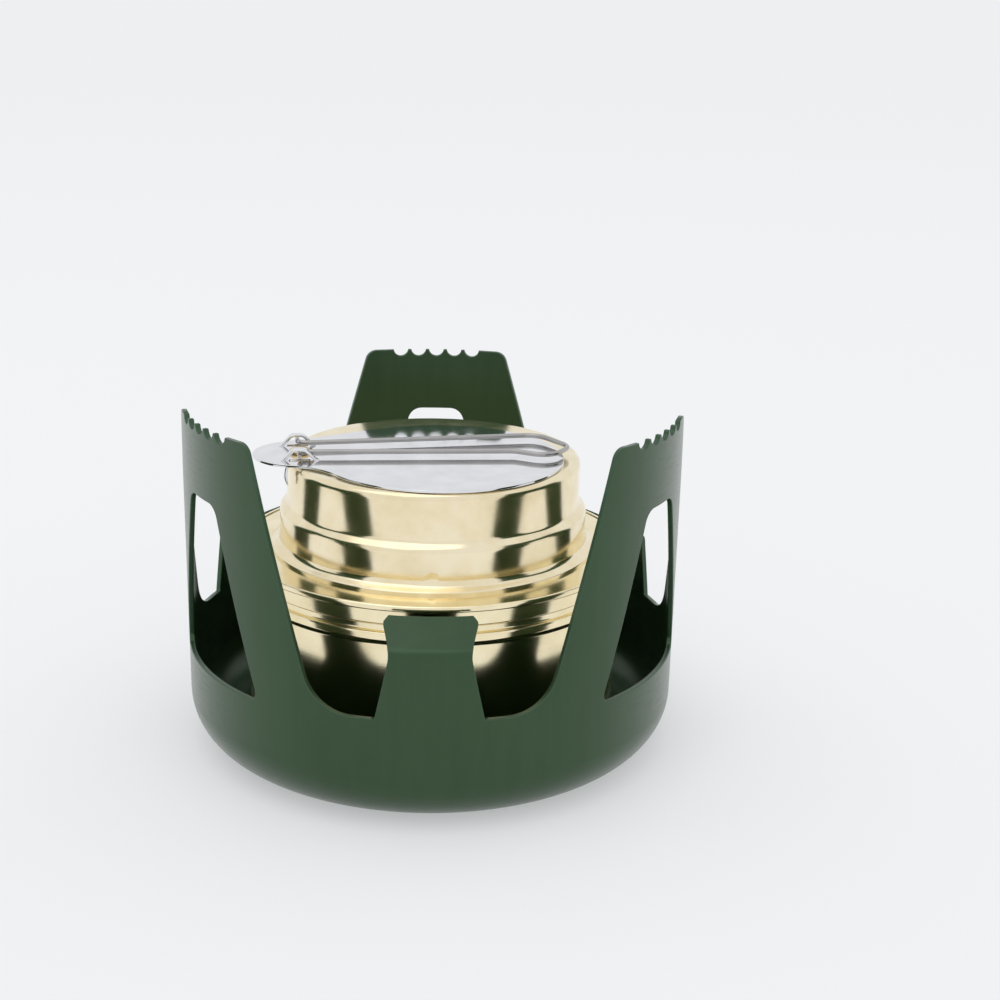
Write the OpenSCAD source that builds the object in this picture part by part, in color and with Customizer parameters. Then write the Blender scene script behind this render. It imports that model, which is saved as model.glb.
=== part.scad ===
// Brass alcohol burner with a simmer ring and a swing lid, standing in a drawn
// aluminium pot stand. Millimetres, +Z up. The origin is the centre of the
// stand's underside, and everything is centred on the Z axis at rest.

/* [Pot stand] */
// Outer radius of the stand's wall
stand_r = 47.5; // [47:0.1:49]
// Height of the pot rests above the table
stand_h = 66.6; // [64:0.1:70]
// Sheet thickness of the stand
sheet_t = 1.0; // [0.8:0.1:1.2]
// Outer radius of the drawn bottom corner
base_corner_r = 10.4; // [8:0.1:12]
// How far the leg tops lean inwards above the crease
leg_lean = 0.1; // [0:0.1:0.8]
// Height of the crease below the leg tops
crease_z = 54.5; // [53:0.1:58]
// Half the angle that a leg spans at its top
leg_top_half = 18.4; // [17:0.1:20]
// Half the angle that a leg spans at the bottom of the cutouts
leg_foot_half = 34.9; // [34:0.1:37]
// Height of the bottom of the cutouts beside the tabs
cutout_z = 21.5; // [20:0.1:24]
// Corner radius of a cutout on its leg side
cutout_r = 9.0; // [6:0.1:10]
// Bottom of the window in each leg
window_z0 = 20.0; // [18:0.1:22]
// Top of the window in each leg
window_z1 = 53.4; // [48:0.1:54]
// Half width of the window at its bottom
window_foot_w = 16.4; // [14:0.1:17]
// Half width of the window at its top
window_top_w = 5.4; // [4:0.1:6]
// Number of grip notches on each leg top
notch_count = 5; // [3:2:5]
// Angle between grip notches
notch_pitch = 4.76; // [4:0.01:5]
// Radius of a grip notch
notch_r = 1.65; // [1.2:0.05:1.7]

/* [Centring tabs] */
// Half width of a tab where it leaves the wall
tab_foot_w = 9.5; // [8:0.1:10]
// Half width of a tab at its bend
tab_waist_w = 6.85; // [6:0.05:8]
// Half width of a tab at its tip
tab_tip_w = 8.3; // [7:0.1:9]
// Height of the bend in a tab
tab_bend_z = 33.8; // [30:0.1:35]
// Height of the tip of a tab
tab_tip_z = 37.6; // [37.5:0.1:38.8]
// Radius at which a tab's tip ends
tab_tip_r = 39.5; // [39.5:0.1:41.3]

/* [Fuel cup] */
// Outer radius of the fuel cup's wall
cup_r = 36.1; // [35.8:0.1:36.2]
// Corner radius of the fuel cup's bottom
cup_corner_r = 4.0; // [3:0.1:6]
// Radius of the band under the rolled rim
band_r = 36.6; // [36.5:0.1:36.8]
// Outer radius of the rolled rim
rim_r = 37.6; // [37.4:0.1:38]
// Height of the burner's flat flange
flange_z = 38.2; // [38:0.1:38.4]
// Sheet thickness of the brass parts
brass_t = 0.6; // [0.5:0.05:0.7]

/* [Neck and jets] */
// Root radius of the neck's thread
neck_r = 25.0; // [24.8:0.1:25]
// Height of a thread ridge
thread_h = 0.6; // [0.4:0.05:0.6]
// Pitch of the thread
thread_pitch = 2.0; // [1.8:0.1:2.2]
// Height of the neck's top edge
neck_z = 44.8; // [44:0.1:45]
// Number of flame jets
jet_count = 24; // [12:1:30]
// Radius of a flame jet
jet_r = 0.6; // [0.4:0.05:0.7]
// Inner radius of the fuel well's sleeve
well_r = 21.3; // [20.5:0.1:21.3]

/* [Screw cap] */
// Outer radius of the cap's grip
cap_r = 26.9; // [26.6:0.1:27]
// Height of the cap's top
cap_z = 47.5; // [47.3:0.1:48]
// Number of grip flutes round the cap
flute_count = 48; // [24:1:60]
// Section radius of the rubber seal
seal_r = 0.8; // [0.6:0.05:0.8]

/* [Simmer ring] */
// Outer radius of the ring's upper wall
ring_top_r = 28.2; // [28:0.1:28.6]
// Outer radius of the ring's lower wall
ring_low_r = 29.6; // [29.3:0.1:30]
// Outer radius of the ring's flared foot
ring_foot_r = 31.35; // [31:0.05:32]
// Height of the ring's flat top
ring_z = 55.9; // [55:0.1:56]
// Radius of the flame opening in the ring's top
ring_open_r = 19.0; // [17:0.1:19]

/* [Swing lid] */
// Radius of the lid's disc
lid_r = 23.4; // [23.2:0.1:23.8]
// Thickness of the lid's sheet
lid_t = 0.5; // [0.4:0.05:0.6]
// Radius of the lid's thumb tab
thumb_r = 9.0; // [8.8:0.1:9.4]
// Distance from the axis to the rivet, which is also the tab's centre
rivet_x = 25.6; // [25.4:0.1:25.8]
// Angle round the axis from the left to the rivet
hinge_turn = 7.4; // [0:0.1:8]
// Radius of the rivet's shank
shank_r = 1.2; // [1:0.05:1.3]
// Distance from the rivet to the middle of each ear
ear_y = 5.35; // [5.3:0.05:5.6]
// Height of an ear above the lid
ear_h = 2.3; // [2.2:0.05:2.6]

/* [Wire handle] */
// Radius of the handle's wire
wire_r = 0.475; // [0.4:0.025:0.5]
// Height of the wire's centre above the lid
wire_lift = 1.1; // [1.05:0.01:1.15]
// Distance from the axis to the handle's hinge
hinge_x = 25.9; // [25.8:0.05:26]

/* [Hidden] */
$fn = 96;
arc_steps = 8;
fit = 0.05;
over = 1;
leg_angles = [90, 210, 330];
tab_angles = [30, 150, 270];
gap_turn = 32;
notch_rise = 0.25;
window_top_r = 3;
window_foot_r = 1.5;
leg_top_corner = 2.5;
tab_bend_r = 2;
tab_chamfer_w = 1.0;
tab_chamfer_z = 0.7;
tab_waist_r = 6;
cup_z = sheet_t;
roll_z = 27.6;
bead_z = 31.4;
bead_h = 0.45;
groove_z = 32.9;
band_z = 34.3;
groove_r = band_r - 0.95;
rim_z = flange_z + 0.25;
rim_low_z = flange_z - 1.0;
skirt_r = 22.0;
thread_turns = 2;
thread_z = 40.4;
sleeve_z = cup_z + brass_t + 0.4;
wick_z = cup_z + brass_t + 0.2;
wick_h = 28;
cap_foot_z = flange_z + 0.8;
cap_t = 0.8;
seal_z = neck_z + 0.15 + seal_r;
dent_z = 40.7;
dent_r = 1.1;
dent_depth = 0.45;
step_z = 45.8;
lid_z = ring_z + fit;
lid_top = lid_z + lid_t;
lid_centre = [0.8, -4.3];
lid_hollow_r = 12;
ear_w = 1.6;
ear_t = 0.5;
claw_y = 7.3;
pin_y = 7.2;

// ---- Outlines ----

function unit(v) = v / norm(v);

// Points of the round corner of radius r at b, between the sides to a and to c
function corner(a, b, c, r) =
    r <= 0 ? [b] :
    let (u = unit(a - b), v = unit(c - b),
         half = acos(u * v) / 2,
         centre = b + unit(u + v) * r / sin(half),
         from = b + u * r / tan(half) - centre,
         to = b + v * r / tan(half) - centre,
         start = atan2(from[1], from[0]),
         turn = atan2(from[0] * to[1] - from[1] * to[0], from * to))
    [for (i = [0:arc_steps])
        centre + r * [cos(start + turn * i / arc_steps), sin(start + turn * i / arc_steps)]];

// Outline with a radius at each point: [[x, y, radius], ...]
function rounded(p) =
    let (n = len(p), xy = [for (q = p) [q[0], q[1]]])
    [for (i = [0:n - 1]) each corner(xy[(i + n - 1) % n], xy[i], xy[(i + 1) % n], p[i][2])];

// Turns an outline round the Z axis
module turned(outline) {
    rotate_extrude() polygon(rounded(outline));
}

// Pushes an outline of [along the wall, height] outwards through the wall at an angle
module through_wall(angle, outline) {
    rotate([0, 0, angle + 90]) rotate([90, 0, 0])
        linear_extrude(stand_r + 5) polygon(rounded(outline));
}

// ---- Pot stand ----

// The drawn cup, with the crease that leans the leg tops inwards
module stand_shell() {
    turned([
        [0, 0, 0],
        [stand_r, 0, base_corner_r],
        [stand_r, crease_z, 0],
        [stand_r - leg_lean, stand_h, 0],
        [stand_r - leg_lean - sheet_t, stand_h, 0],
        [stand_r - sheet_t, crease_z, 0],
        [stand_r - sheet_t, sheet_t, base_corner_r - sheet_t],
        [0, sheet_t, 0]
    ]);
}

// Half of the opening between two legs, from the tab's middle to the leg's edge
module half_gap(side) {
    foot_x = stand_r * sin(60 - leg_foot_half - gap_turn);
    top_x = stand_r * sin(60 - leg_top_half - gap_turn);
    mid_x = -stand_r * sin(gap_turn) - fit;
    lean = (top_x - foot_x) / (stand_h - cutout_z);
    outline = [
        [mid_x, cutout_z, 0],
        [foot_x, cutout_z, cutout_r],
        [top_x, stand_h, 0],
        [top_x + lean * over, stand_h + over, 0],
        [mid_x, stand_h + over, 0]
    ];
    mirror([side < 0 ? 1 : 0, 0, 0]) rotate([90, 0, 0]) rotate([0, gap_turn, 0])
        linear_extrude(stand_r + 5) polygon(rounded(outline));
}

// Rounds off the two top corners of a leg
module leg_top_trim(angle) {
    half_w = (stand_r - leg_lean) * sin(leg_top_half);
    z0 = stand_h - leg_top_corner;
    for (side = [-1, 1])
        rotate([0, 0, angle + 90]) mirror([side < 0 ? 1 : 0, 0, 0]) rotate([90, 0, 0])
            linear_extrude(stand_r + 5) difference() {
                translate([half_w - leg_top_corner, z0])
                    square([leg_top_corner + 2, leg_top_corner + over]);
                translate([half_w - leg_top_corner + 0.2, z0]) circle(leg_top_corner);
            }
}

module leg_window(angle) {
    through_wall(angle, [
        [-window_foot_w, window_z0, window_foot_r],
        [window_foot_w, window_z0, window_foot_r],
        [window_top_w, window_z1, window_top_r],
        [-window_top_w, window_z1, window_top_r]
    ]);
}

// Grip notches that keep a pot from sliding
module leg_notches(angle) {
    half = (notch_count - 1) / 2;
    for (i = [-half:half])
        rotate([0, 0, angle + i * notch_pitch]) translate([stand_r - 5, 0, stand_h + notch_rise])
            rotate([0, 90, 0]) cylinder(r = notch_r, h = 10);
}

// Short tab whose tip bends in towards the burner and keeps it central
module centring_tab(angle) {
    run = [stand_r - tab_tip_r, tab_tip_z - tab_bend_z];
    bend = atan2(run[0], run[1]);
    drop = sheet_t * tan(bend / 2);
    sunk_w = tab_foot_w + over * (tab_foot_w - tab_waist_w) / (tab_bend_z - cutout_z);
    intersection() {
        turned([
            [stand_r, cutout_z - over, 0],
            [stand_r, tab_bend_z, tab_bend_r],
            [tab_tip_r, tab_tip_z, 0],
            [tab_tip_r - sheet_t * cos(bend), tab_tip_z - sheet_t * sin(bend), 0],
            [stand_r - sheet_t, tab_bend_z - drop, tab_bend_r - sheet_t],
            [stand_r - sheet_t, cutout_z - over, 0]
        ]);
        through_wall(angle, [
            [-sunk_w, cutout_z - over, 0],
            [sunk_w, cutout_z - over, 0],
            [tab_waist_w, tab_bend_z, tab_waist_r],
            [tab_tip_w, tab_tip_z - tab_chamfer_z, 0],
            [tab_tip_w - tab_chamfer_w, tab_tip_z, 0],
            [tab_tip_w - tab_chamfer_w, tab_tip_z + over, 0],
            [-tab_tip_w + tab_chamfer_w, tab_tip_z + over, 0],
            [-tab_tip_w + tab_chamfer_w, tab_tip_z, 0],
            [-tab_tip_w, tab_tip_z - tab_chamfer_z, 0],
            [-tab_waist_w, tab_bend_z, tab_waist_r]
        ]);
    }
}

module pot_stand() {
    color("darkolivegreen") union() {
        difference() {
            stand_shell();
            for (angle = tab_angles, side = [-1, 1])
                rotate([0, 0, angle + 90]) half_gap(side);
            for (angle = leg_angles) {
                leg_window(angle);
                leg_notches(angle);
                leg_top_trim(angle);
            }
        }
        for (angle = tab_angles) centring_tab(angle);
    }
}

// ---- Burner ----

// Spun outer cup, with a bead, a groove and the rim rolled over the flange
module fuel_cup() {
    inner_r = groove_r - brass_t;
    color("goldenrod") turned([
        [0, cup_z, 0],
        [cup_r, cup_z, cup_corner_r],
        [cup_r, roll_z, 8],
        [cup_r + bead_h, bead_z, 2],
        [cup_r + bead_h - 0.1, groove_z - 0.2, 0.5],
        [groove_r, groove_z + 0.1, 0.2],
        [groove_r, band_z - 0.2, 0.2],
        [band_r, band_z + 0.2, 0.3],
        [band_r, rim_low_z, 0],
        [rim_r, rim_low_z + 0.1, 0.35],
        [rim_r, rim_z, 0.5],
        [band_r + fit, rim_z, 0.2],
        [band_r + fit, flange_z - brass_t - fit, 0],
        [inner_r, flange_z - brass_t - fit, 0],
        [inner_r, cup_z + brass_t, cup_corner_r - brass_t],
        [0, cup_z + brass_t, 0]
    ]);
}

// Ridge of the thread, one per turn
module thread_ridge(z) {
    translate([0, 0, z]) rotate_extrude() polygon([
        [neck_r - 0.2, -0.7], [neck_r, -0.6], [neck_r + thread_h, -0.1],
        [neck_r + thread_h, 0.1], [neck_r, 0.6], [neck_r - 0.2, 0.7]
    ]);
}

// Flange, threaded neck and the sloping shoulder that the jets are drilled through
module jet_ring() {
    wall_in = neck_r - brass_t;
    color("gold") difference() {
        union() {
            turned([
                [band_r, flange_z - brass_t, 0],
                [band_r, flange_z, 0],
                [neck_r, flange_z, 0.5],
                [neck_r, neck_z, 0.6],
                [neck_r - 1.2, neck_z, 0.5],
                [skirt_r, neck_z - 1.4, 0],
                [skirt_r, neck_z - 5.4, 0],
                [skirt_r + brass_t, neck_z - 5.4, 0],
                [skirt_r + brass_t, neck_z - 2.0, 0],
                [wall_in, neck_z - 0.9, 0],
                [wall_in, flange_z - brass_t, 0]
            ]);
            for (i = [0:thread_turns]) thread_ridge(thread_z + i * thread_pitch * 0.9);
        }
        for (i = [0:jet_count - 1])
            rotate([0, 0, 360 * (i + 0.5) / jet_count])
                translate([(skirt_r + neck_r) / 2 - 0.3, 0, neck_z - 4])
                    cylinder(r = jet_r, h = 5, $fn = 24);
    }
}

// Inner wall of the fuel well, notched at its foot so that fuel reaches the wick
module well_sleeve() {
    color("peru") difference() {
        translate([0, 0, sleeve_z])
            cylinder(r = skirt_r - fit, h = neck_z - 2.5 - sleeve_z);
        translate([0, 0, sleeve_z - over]) cylinder(r = well_r, h = stand_h);
        for (angle = tab_angles)
            rotate([0, 0, angle]) translate([well_r - 3, -2, sleeve_z - over])
                cube([6, 4, over + 2.5]);
    }
}

// Felt that lines the space between the two walls
module wick() {
    color("ivory") translate([0, 0, wick_z]) difference() {
        cylinder(r = groove_r - brass_t - 0.4, h = wick_h);
        translate([0, 0, -over]) cylinder(r = skirt_r + 0.8, h = wick_h + 2 * over);
        rotate_extrude() translate([groove_r - brass_t - 0.4, 0]) circle(3.4, $fn = 32);
    }
}

// ---- Screw cap ----

module screw_cap() {
    bore_r = neck_r + thread_h + 0.08;
    flute_r = 0.6;
    color("gold") difference() {
        turned([
            [0, cap_z - cap_t, 0],
            [bore_r, cap_z - cap_t, 0],
            [bore_r, cap_foot_z, 0],
            [cap_r - 0.4, cap_foot_z, 0],
            [cap_r, cap_foot_z + 0.4, 0],
            [cap_r, cap_z, 0.7],
            [cap_r - 3.4, cap_z, 0.3],
            [cap_r - 4, cap_z - 0.4, 0.3],
            [0, cap_z - 0.4, 0]
        ]);
        for (i = [0:flute_count - 1])
            rotate([0, 0, 360 * i / flute_count])
                translate([cap_r + 0.35, 0, cap_foot_z + 1])
                    cylinder(r = flute_r, h = cap_z - cap_foot_z - 2.2, $fn = 16);
    }
}

module cap_seal() {
    color("dimgray") translate([0, 0, seal_z])
        rotate_extrude() translate([neck_r - 0.9, 0]) circle(seal_r, $fn = 24);
}

// ---- Simmer ring ----

// Stepped ring with three small dents pressed into its lower wall
module simmer_ring() {
    top_in = ring_top_r - brass_t;
    low_in = ring_low_r - brass_t;
    color("gold") difference() {
        turned([
            [ring_foot_r, flange_z, 0],
            [ring_foot_r, flange_z + 0.5, 0.2],
            [ring_low_r, flange_z + 1.4, 1.2],
            [ring_low_r, step_z, 1.2],
            [ring_top_r, step_z + 1.3, 0.8],
            [ring_top_r, ring_z, 1.3],
            [ring_open_r, ring_z, 0],
            [ring_open_r, ring_z - brass_t, 0],
            [top_in, ring_z - brass_t, 0.7],
            [top_in, step_z + 1.0, 1.2],
            [low_in, step_z - 0.3, 0.6],
            [low_in, flange_z, 0]
        ]);
        rotate([0, 0, hinge_turn]) translate([-rivet_x, 0, ring_z - 2])
            cylinder(r = shank_r + fit, h = 4);
        for (angle = tab_angles)
            rotate([0, 0, angle]) translate([ring_low_r + dent_r - dent_depth, 0, dent_z])
                sphere(dent_r, $fn = 32);
    }
}

// ---- Swing lid ----

function along(angle) = [cos(angle), sin(angle)];

// Points round a centre, from one angle to another
function bend_points(centre, radius, from, to, n, first = 0) =
    [for (i = [first:n]) centre + radius * along(from + (to - from) * i / n)];

// Edge of the sheet: the thumb tab, the hollow towards the disc, the disc, and a straight side
function lid_edge() =
    let (tab = [-rivet_x, 0],
         run = norm(lid_centre - tab),
         axis = atan2(lid_centre[1] - tab[1], lid_centre[0] - tab[0]),
         side = axis + 90 + asin((lid_r - thumb_r) / run),
         tab_l = thumb_r + lid_hollow_r,
         disc_l = lid_r + lid_hollow_r,
         turn = axis - acos((run * run + tab_l * tab_l - disc_l * disc_l) / (2 * run * tab_l)),
         hollow = tab + tab_l * along(turn),
         back = atan2(hollow[1] - lid_centre[1], hollow[0] - lid_centre[0]))
    [each bend_points(tab, thumb_r, side, turn + 360, 36),
     each bend_points(hollow, lid_hollow_r, turn + 180, back + 180, 8, 1),
     each bend_points(lid_centre, lid_r, back, side, 100, 1)];

// Raised strip that the handle's wire turns in
module ear(side) {
    outer = rounded([
        [-hinge_x - 3.4, 0, 0],
        [-hinge_x - 2.1, 0.35, 0.8],
        [-hinge_x - 1.05, ear_h, 1.3],
        [-hinge_x + 1.05, ear_h, 1.3],
        [-hinge_x + 2.1, 0.35, 0.8],
        [-hinge_x + 3.4, 0, 0]
    ]);
    inner = rounded([
        [-hinge_x - 1.95, -over, 0],
        [-hinge_x - 1.95, 0, 0],
        [-hinge_x - 0.7, ear_h - ear_t, 0.9],
        [-hinge_x + 0.7, ear_h - ear_t, 0.9],
        [-hinge_x + 1.95, 0, 0],
        [-hinge_x + 1.95, -over, 0]
    ]);
    translate([0, side * ear_y + ear_w / 2, lid_top]) rotate([90, 0, 0])
        linear_extrude(ear_w) difference() {
            polygon(outer);
            polygon(inner);
        }
}

// Finger bent down outside the ring's wall, which stops the lid when it is shut
module stop_claw() {
    claw_w = 0.9;
    claw_t = 0.55;
    bow_r = 5;
    drop = 3.8;
    translate([-28.3, claw_w / 2 - claw_y, lid_z]) rotate([90, 0, 0])
        linear_extrude(claw_w) intersection() {
            translate([bow_r - claw_t, -drop / 2]) difference() {
                circle(bow_r);
                circle(bow_r - claw_t);
            }
            translate([-2 * claw_t, -drop]) square([3, drop + lid_t / 2]);
        }
}

module swing_lid() {
    color("silver") rotate([0, 0, hinge_turn]) union() {
        difference() {
            translate([0, 0, lid_z]) linear_extrude(lid_t) polygon(lid_edge());
            translate([-rivet_x, 0, lid_z - over])
                cylinder(r = shank_r + fit, h = lid_t + 2 * over);
            for (side = [-1, 1])
                translate([-hinge_x - 1.95, side * ear_y - ear_w / 2, lid_z - over])
                    cube([3.9, ear_w, lid_t + 2 * over]);
        }
        for (side = [-1, 1]) ear(side);
        stop_claw();
    }
}

// Shank through ring and lid, closed by a domed head above and a flat head below
module lid_rivet() {
    head_r = 2.1;
    head_t = 0.8;
    foot_r = 1.8;
    foot_t = 0.5;
    head_z = lid_top + fit;
    foot_z = ring_z - brass_t - fit;
    color("gold") rotate([0, 0, hinge_turn]) translate([-rivet_x, 0, 0])
        rotate_extrude() polygon(rounded([
            [0, foot_z - foot_t, 0],
            [foot_r, foot_z - foot_t, 0.2],
            [foot_r, foot_z, 0],
            [shank_r, foot_z, 0],
            [shank_r, head_z, 0],
            [head_r, head_z, 0],
            [head_r, head_z + head_t, 0.6],
            [0, head_z + head_t, 0]
        ]));
}

// ---- Wire handle ----

// Corners of the wire's middle line, from one pin to the other, with their bend radii
function wire_line() = [
    [-hinge_x, pin_y, 0],
    [-hinge_x, 2.9, 1.5],
    [17.5, 5.15, 3],
    [21.3, 5.3, 4.5],
    [25.9, -3.9, 3.5],
    [21.0, -10.6, 4],
    [14.6, -6.2, 3],
    [-hinge_x, -3.4, 1.2],
    [-hinge_x, -pin_y, 0]
];

// Round bar of radius r whose middle line is a flat path
module swept_bar(path, r, sides = 12) {
    n = len(path);
    ring = [for (i = [0:n - 1])
        let (run = unit(path[min(i + 1, n - 1)] - path[max(i - 1, 0)]))
        for (j = [0:sides - 1])
            let (t = 360 * j / sides, across = r * cos(t))
            [path[i][0] - across * run[1], path[i][1] + across * run[0], r * sin(t)]];
    walls = [for (i = [0:n - 2], j = [0:sides - 1])
        let (k = (j + 1) % sides)
        [i * sides + j, i * sides + k, (i + 1) * sides + k, (i + 1) * sides + j]];
    first = [for (j = [0:sides - 1]) sides - 1 - j];
    last = [for (j = [0:sides - 1]) (n - 1) * sides + j];
    polyhedron(ring, [first, each walls, last]);
}

// Hairpin of wire with a skewed loop at its end, and an end turned out under each ear
module wire_handle() {
    color("lightgray") rotate([0, 0, hinge_turn]) translate([0, 0, lid_top + wire_lift])
        swept_bar(rounded(wire_line()), wire_r);
}

pot_stand();
fuel_cup();
jet_ring();
well_sleeve();
wick();
screw_cap();
cap_seal();
simmer_ring();
swing_lid();
lid_rivet();
wire_handle();
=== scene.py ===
"""The looks of a brass alcohol burner in its green pot stand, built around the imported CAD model.

Outlines are in millimetres, as in the CAD, and turn into metres where a mesh is made.
"""

import math

import bpy
import bmesh
from mathutils import Matrix, Vector
from mathutils.geometry import delaunay_2d_cdt


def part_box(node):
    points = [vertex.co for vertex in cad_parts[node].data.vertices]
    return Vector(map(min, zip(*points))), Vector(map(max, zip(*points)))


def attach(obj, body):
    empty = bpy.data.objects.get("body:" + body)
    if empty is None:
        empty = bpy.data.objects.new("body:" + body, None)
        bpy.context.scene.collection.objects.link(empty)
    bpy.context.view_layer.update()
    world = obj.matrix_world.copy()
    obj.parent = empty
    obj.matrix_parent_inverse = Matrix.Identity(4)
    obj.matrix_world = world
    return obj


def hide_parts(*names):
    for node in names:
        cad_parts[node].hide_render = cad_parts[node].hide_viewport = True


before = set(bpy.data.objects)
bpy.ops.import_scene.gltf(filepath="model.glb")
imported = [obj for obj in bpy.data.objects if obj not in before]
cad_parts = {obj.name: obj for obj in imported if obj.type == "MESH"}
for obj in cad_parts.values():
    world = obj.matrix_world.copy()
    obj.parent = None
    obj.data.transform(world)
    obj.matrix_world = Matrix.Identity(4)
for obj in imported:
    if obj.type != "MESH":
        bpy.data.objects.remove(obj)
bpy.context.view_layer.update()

MM = 0.001
TAU = 2 * math.pi


def node_mm(node):
    """Lowest and highest corner of a CAD node, in millimetres."""
    low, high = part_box(node)
    return low / MM, high / MM


# ---- Sizes, taken from the frame where it shows them ----

STAND_R = node_mm("pot_stand")[1].x
STAND_H = node_mm("pot_stand")[1].z
RIM_R = node_mm("fuel_cup")[1].x
RIM_Z = node_mm("fuel_cup")[1].z
RING_FOOT_R = node_mm("simmer_ring")[1].x
RING_Z = node_mm("simmer_ring")[1].z
RING_FOOT_Z = node_mm("simmer_ring")[0].z
CAP_R = node_mm("screw_cap")[1].x
CAP_Z = node_mm("screw_cap")[1].z
CAP_FOOT_Z = node_mm("screw_cap")[0].z
WIRE_Z = (node_mm("wire_handle")[0].z + node_mm("wire_handle")[1].z) / 2
WIRE_R = (node_mm("wire_handle")[1].z - node_mm("wire_handle")[0].z) / 2

SHEET_T = 1.0
BRASS_T = 0.6
LID_T = 0.5
LID_Z = RING_Z + 0.05
LID_TOP = LID_Z + LID_T
HINGE_TURN = math.radians(7.4)
RIVET_X = -25.6
HINGE_X = -25.9
EAR_Y = 5.35
TAB_ANGLES = (30, 150, 270)


# ---- Outlines ----

def arc(centre, radius, start, end, steps):
    """Points round a centre, from one angle to another in degrees."""
    angles = [math.radians(start + (end - start) * i / steps) for i in range(steps + 1)]
    return [(centre[0] + radius * math.cos(a), centre[1] + radius * math.sin(a)) for a in angles]


def corner(before, at, after, radius, steps):
    """Points of the round corner at a point between its neighbours."""
    if radius <= 0:
        return [tuple(at)]
    at = Vector(at)
    u, v = (Vector(before) - at).normalized(), (Vector(after) - at).normalized()
    half = math.acos(max(-1.0, min(1.0, u.dot(v)))) / 2
    centre = at + (u + v).normalized() * radius / math.sin(half)
    first = at + u * radius / math.tan(half) - centre
    last = at + v * radius / math.tan(half) - centre
    turn = math.atan2(first.x * last.y - first.y * last.x, first.dot(last))
    return [tuple(centre + Matrix.Rotation(turn * i / steps, 2) @ first) for i in range(steps + 1)]


def rounded(outline, steps=8, closed=True):
    """An outline of (x, y, corner radius) as plain points."""
    count, points = len(outline), []
    for i, (x, y, radius) in enumerate(outline):
        if not closed and i in (0, count - 1):
            points.append((x, y))
            continue
        before, after = outline[i - 1][:2], outline[(i + 1) % count][:2]
        points += corner(before, (x, y), after, radius, steps)
    return points


def spaced(points, step):
    """The same open line, with points added so that none are further apart than step."""
    out = [points[0]]
    for a, b in zip(points, points[1:]):
        parts = max(1, math.ceil(math.dist(a, b) / step))
        out += [(a[0] + (b[0] - a[0]) * i / parts, a[1] + (b[1] - a[1]) * i / parts)
                for i in range(1, parts + 1)]
    return out


# ---- Meshes ----

def add_piece(name, mesh, body):
    """Puts a finished mesh in the scene as a piece that rides on a body."""
    piece = bpy.data.objects.new(name, mesh)
    bpy.context.scene.collection.objects.link(piece)
    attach(piece, body)
    return piece


def finish_mesh(name, bm, body, material, crease=40):
    """Turns a bmesh in millimetres into a smooth piece that rides on a body."""
    bmesh.ops.scale(bm, vec=(MM, MM, MM), verts=bm.verts)
    bmesh.ops.recalc_face_normals(bm, faces=bm.faces)
    mesh = bpy.data.meshes.new(name)
    bm.to_mesh(mesh)
    bm.free()
    mesh.polygons.foreach_set("use_smooth", [True] * len(mesh.polygons))
    mesh.set_sharp_from_angle(angle=math.radians(crease))
    mesh.materials.append(material)
    return add_piece(name, mesh, body)


def even_normals(piece):
    """Keeps flat faces flat to the eye beside their round edges."""
    weighted = piece.modifiers.new("even_normals", "WEIGHTED_NORMAL")
    weighted.keep_sharp = True
    weighted.weight = 90


def spin(bm, profile, steps, closed=True, shape=None):
    """Turns a profile of (radius, height) round the Z axis. shape may move each point."""
    rings = []
    for radius, z in profile:
        if radius < 1e-6:
            rings.append([bm.verts.new((0, 0, z))])
            continue
        ring = []
        for k in range(steps):
            a = TAU * k / steps
            r, height = shape(radius, a, z) if shape else (radius, z)
            ring.append(bm.verts.new((r * math.cos(a), r * math.sin(a), height)))
        rings.append(ring)
    pairs = list(zip(rings, rings[1:]))
    if closed:
        pairs.append((rings[-1], rings[0]))
    for a, b in pairs:
        for k in range(steps):
            n = (k + 1) % steps
            if len(a) == 1 and len(b) == 1:
                break
            if len(a) == 1:
                bm.faces.new((a[0], b[n], b[k]))
            elif len(b) == 1:
                bm.faces.new((a[k], a[n], b[0]))
            else:
                bm.faces.new((a[k], a[n], b[n], b[k]))


def turned(name, outline, body, material, steps=256, closed=True, shape=None, fine=None):
    """A turned piece from an outline of (radius, height, corner radius)."""
    profile = rounded(outline, closed=closed)
    if fine:
        profile = spaced(profile, fine)
    bm = bmesh.new()
    spin(bm, profile, steps, closed, shape)
    piece = finish_mesh(name, bm, body, material)
    even_normals(piece)
    return piece


def swept(bm, path, section, side):
    """Sweeps a closed section along an open path. side is the direction across the path's plane.

    section(i) gives the section's (along the normal, along side) points at path point i.
    """
    side = Vector(side)
    rings = []
    for i, point in enumerate(path):
        run = (Vector(path[min(i + 1, len(path) - 1)]) - Vector(path[max(i - 1, 0)])).normalized()
        normal = side.cross(run)
        rings.append([bm.verts.new(Vector(point) + normal * x + side * y) for x, y in section(i)])
    count = len(rings[0])
    for a, b in zip(rings, rings[1:]):
        for k in range(count):
            n = (k + 1) % count
            bm.faces.new((a[k], a[n], b[n], b[k]))
    bm.faces.new(list(reversed(rings[0])))
    bm.faces.new(rings[-1])


# ---- Materials ----

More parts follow.
